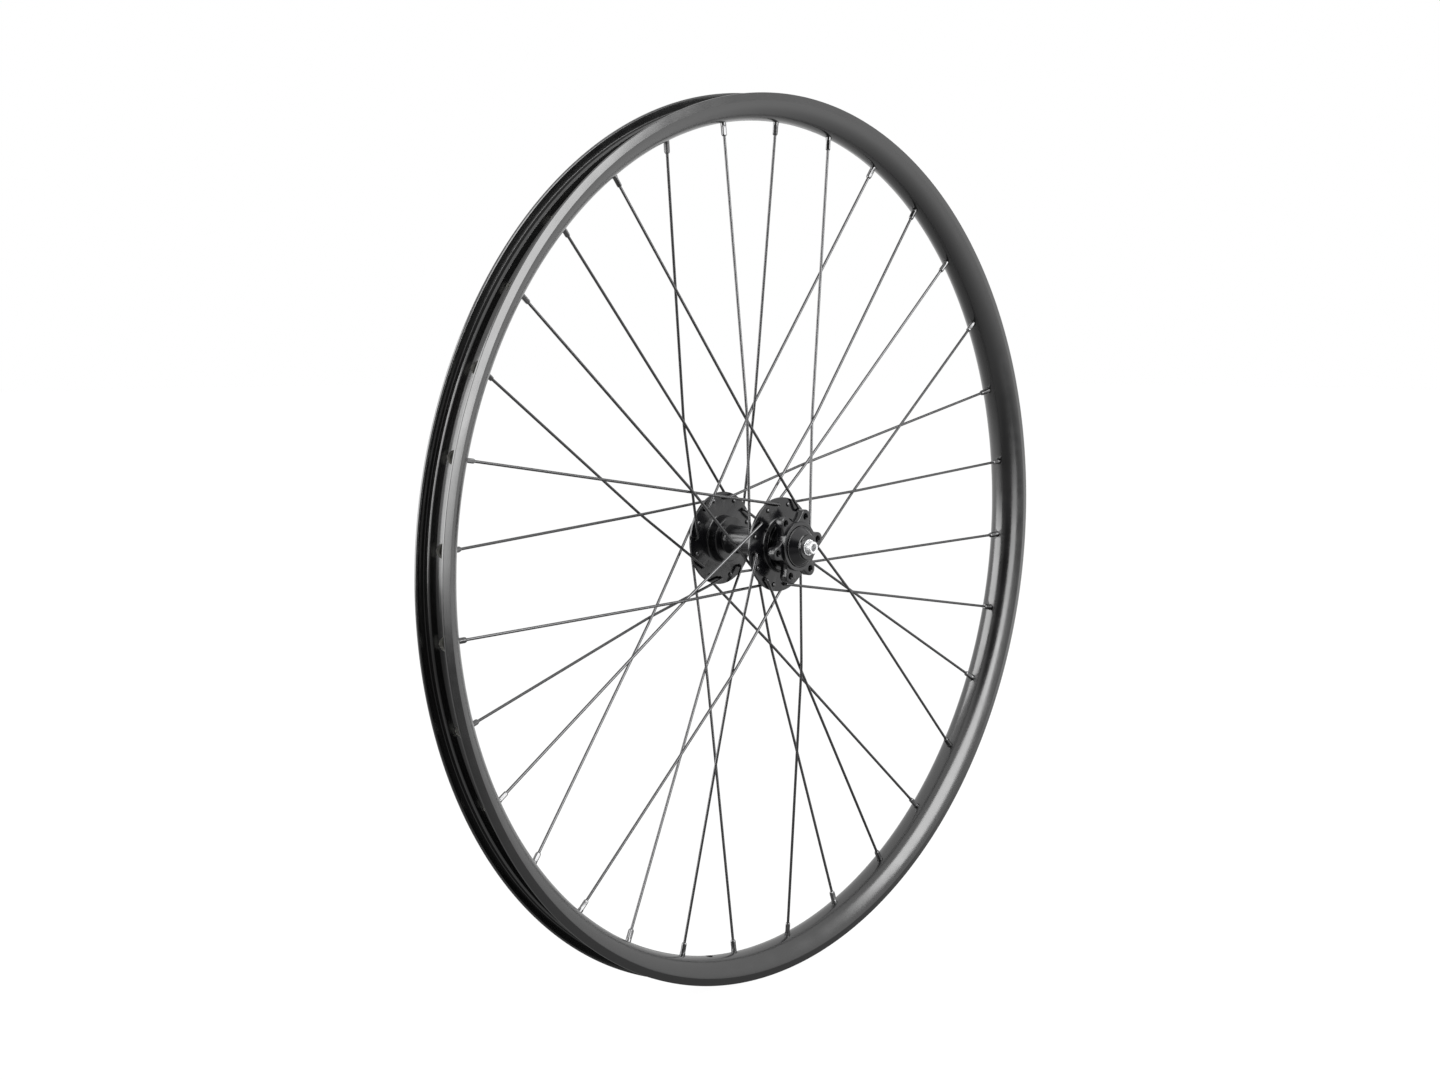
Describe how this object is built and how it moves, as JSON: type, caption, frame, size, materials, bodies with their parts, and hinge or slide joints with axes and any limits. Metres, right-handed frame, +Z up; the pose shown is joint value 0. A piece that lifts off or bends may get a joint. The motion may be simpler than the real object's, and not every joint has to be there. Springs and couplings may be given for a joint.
{
  "type": "bicycle wheel",
  "caption": "Front bicycle wheel for a disc brake: hollow rim, crossed wire spokes with nipples, and a quick-release hub turning on cartridge bearings.",
  "frame": {"origin": "centre of the wheel: the rim's middle plane on the axle's axis", "axes": "+Y along the axle towards the side without the brake, -Y to the brake side; +Z up; +X across the wheel"},
  "size_m": [0.6338, 0.108, 0.6338],
  "materials": {
    "rim_black": "satin black anodised extrusion",
    "hub_black": "gloss black anodised, turned and milled",
    "cap_black": "gloss black anodised, turned",
    "spoke_black": "black coated stainless wire with a black nipple",
    "axle_silver": "bright turned steel",
    "bearing_steel": "ground bearing steel",
    "seal_rubber": "matt black moulded rubber"
  },
  "bodies": {
    "axle": {"axle": "axle_silver", "bearing_inner_race_plain_side": "bearing_steel", "bearing_inner_race_brake_side": "bearing_steel", "end_cap_plain_side": "cap_black", "end_cap_brake_side": "cap_black", "fork_face_ring_plain_side": "axle_silver", "fork_face_ring_brake_side": "axle_silver"},
    "wheel": {"rim": "rim_black", "hub_shell": "hub_black", "spoke_01": "spoke_black", "spoke_02": "spoke_black", "spoke_03": "spoke_black", "spoke_04": "spoke_black", "spoke_05": "spoke_black", "spoke_06": "spoke_black", "spoke_07": "spoke_black", "spoke_08": "spoke_black", "spoke_09": "spoke_black", "spoke_10": "spoke_black", "spoke_11": "spoke_black", "spoke_12": "spoke_black", "spoke_13": "spoke_black", "spoke_14": "spoke_black", "spoke_15": "spoke_black", "spoke_16": "spoke_black", "spoke_17": "spoke_black", "spoke_18": "spoke_black", "spoke_19": "spoke_black", "spoke_20": "spoke_black", "spoke_21": "spoke_black", "spoke_22": "spoke_black", "spoke_23": "spoke_black", "spoke_24": "spoke_black", "spoke_25": "spoke_black", "spoke_26": "spoke_black", "spoke_27": "spoke_black", "spoke_28": "spoke_black", "spoke_29": "spoke_black", "spoke_30": "spoke_black", "spoke_31": "spoke_black", "spoke_32": "spoke_black", "bearing_outer_race_plain_side": "bearing_steel", "bearing_outer_race_brake_side": "bearing_steel", "bearing_inboard_seal_plain_side": "seal_rubber", "bearing_inboard_seal_brake_side": "seal_rubber", "bearing_outboard_seal_plain_side": "seal_rubber", "bearing_outboard_seal_brake_side": "seal_rubber"},
    "cage_plain_side": {"bearing_balls_and_cage_plain_side": "bearing_steel"},
    "cage_brake_side": {"bearing_balls_and_cage_brake_side": "bearing_steel"}
  },
  "joints": [
    {"name": "wheel_spin", "type": "hinge", "parent": "axle", "child": "wheel", "pos_m": [0, 0, 0], "axis": [0, 1, 0], "continuous": true},
    {"name": "cage_spin_plain_side", "type": "hinge", "parent": "axle", "child": "cage_plain_side", "pos_m": [0, 0.036, 0], "axis": [0, 1, 0], "continuous": true},
    {"name": "cage_spin_brake_side", "type": "hinge", "parent": "axle", "child": "cage_brake_side", "pos_m": [0, -0.036, 0], "axis": [0, 1, 0], "continuous": true}
  ],
  "couplings": [
    {"joint": "cage_spin_plain_side", "follows": "wheel_spin", "ratio": 0.6222},
    {"joint": "cage_spin_brake_side", "follows": "wheel_spin", "ratio": 0.6222}
  ]
}
